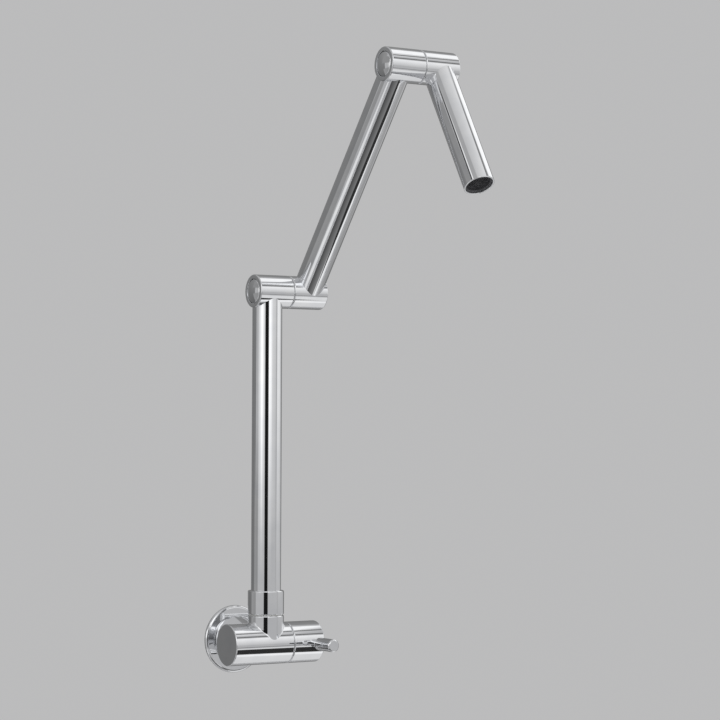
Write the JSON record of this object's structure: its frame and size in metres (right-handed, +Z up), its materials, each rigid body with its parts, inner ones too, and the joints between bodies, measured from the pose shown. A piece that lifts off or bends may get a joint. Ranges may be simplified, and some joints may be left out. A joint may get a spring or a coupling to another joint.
{
  "type": "wall mounted pot filler",
  "caption": "Chrome wall mounted pot filler: quarter-turn valve with a pin lever, swivelling riser tube, and an arm and spout that fold on round knuckles.",
  "frame": {"origin": "centre of the flange on the wall's face, on the inlet's axis", "axes": "+X to the right, +Y into the wall along the inlet, +Z up along the riser"},
  "size_m": [0.1109, 0.2469, 0.4516],
  "materials": {
    "polished_chrome": "polished",
    "bare_brass": "machined",
    "stainless_steel": "satin",
    "black_rubber": "matte",
    "white_ceramic": "lapped",
    "bearing_plastic": "matte",
    "aerator_plastic": "satin",
    "red_fibre": "matte"
  },
  "bodies": {
    "valve": {"wall_flange": "polished_chrome", "flange_seal": "black_rubber", "inlet_nipple": "bare_brass", "inlet_seal": "red_fibre", "inlet_strainer": "stainless_steel", "valve_body": "polished_chrome", "cartridge_housing": "bare_brass", "cartridge_nut": "bare_brass", "cartridge_o_ring": "black_rubber", "cartridge_seat_seal": "black_rubber", "fixed_ceramic_disc": "white_ceramic", "swivel_spigot": "bare_brass", "swivel_o_rings": "black_rubber", "swivel_washer": "bearing_plastic"},
    "handle": {"handle_hub": "polished_chrome", "lever_pin": "polished_chrome", "hub_grub_screw": "stainless_steel", "cartridge_spindle": "bare_brass", "moving_ceramic_disc": "white_ceramic", "spindle_circlip": "stainless_steel", "spindle_o_ring": "black_rubber"},
    "riser": {"swivel_collar": "polished_chrome", "collar_grub_screw": "stainless_steel", "riser_tube": "polished_chrome", "elbow_lower_housing": "polished_chrome", "elbow_cap": "polished_chrome", "elbow_thrust_washer": "bearing_plastic"},
    "arm": {"elbow_upper_housing": "polished_chrome", "elbow_pivot": "bare_brass", "elbow_nut": "bare_brass", "elbow_o_rings": "black_rubber", "arm_tube": "polished_chrome", "wrist_lower_housing": "polished_chrome", "wrist_cap": "polished_chrome", "wrist_thrust_washer": "bearing_plastic"},
    "spout": {"wrist_upper_housing": "polished_chrome", "wrist_pivot": "bare_brass", "wrist_nut": "bare_brass", "wrist_o_rings": "black_rubber", "spout_tube": "polished_chrome", "aerator_housing": "aerator_plastic", "aerator_screen": "aerator_plastic", "aerator_gasket": "black_rubber"}
  },
  "joints": [
    {"name": "riser_swivel", "type": "hinge", "parent": "valve", "child": "riser", "pos_m": [0, -0.0475, 0.03], "axis": [0, 0, 1], "range_deg": [-90, 60]},
    {"name": "elbow_fold", "type": "hinge", "parent": "riser", "child": "arm", "pos_m": [0.0167, -0.0475, 0.259], "axis": [1, 0, 0], "range_deg": [-38.5, 141.5]},
    {"name": "wrist_fold", "type": "hinge", "parent": "arm", "child": "spout", "pos_m": [0.0501, -0.17095, 0.41419], "axis": [1, 0, 0], "range_deg": [-110.5, 69.5]},
    {"name": "handle_turn", "type": "hinge", "parent": "valve", "child": "handle", "pos_m": [0.017, -0.046, 0], "axis": [1, 0, 0], "range_deg": [0, 90]}
  ]
}
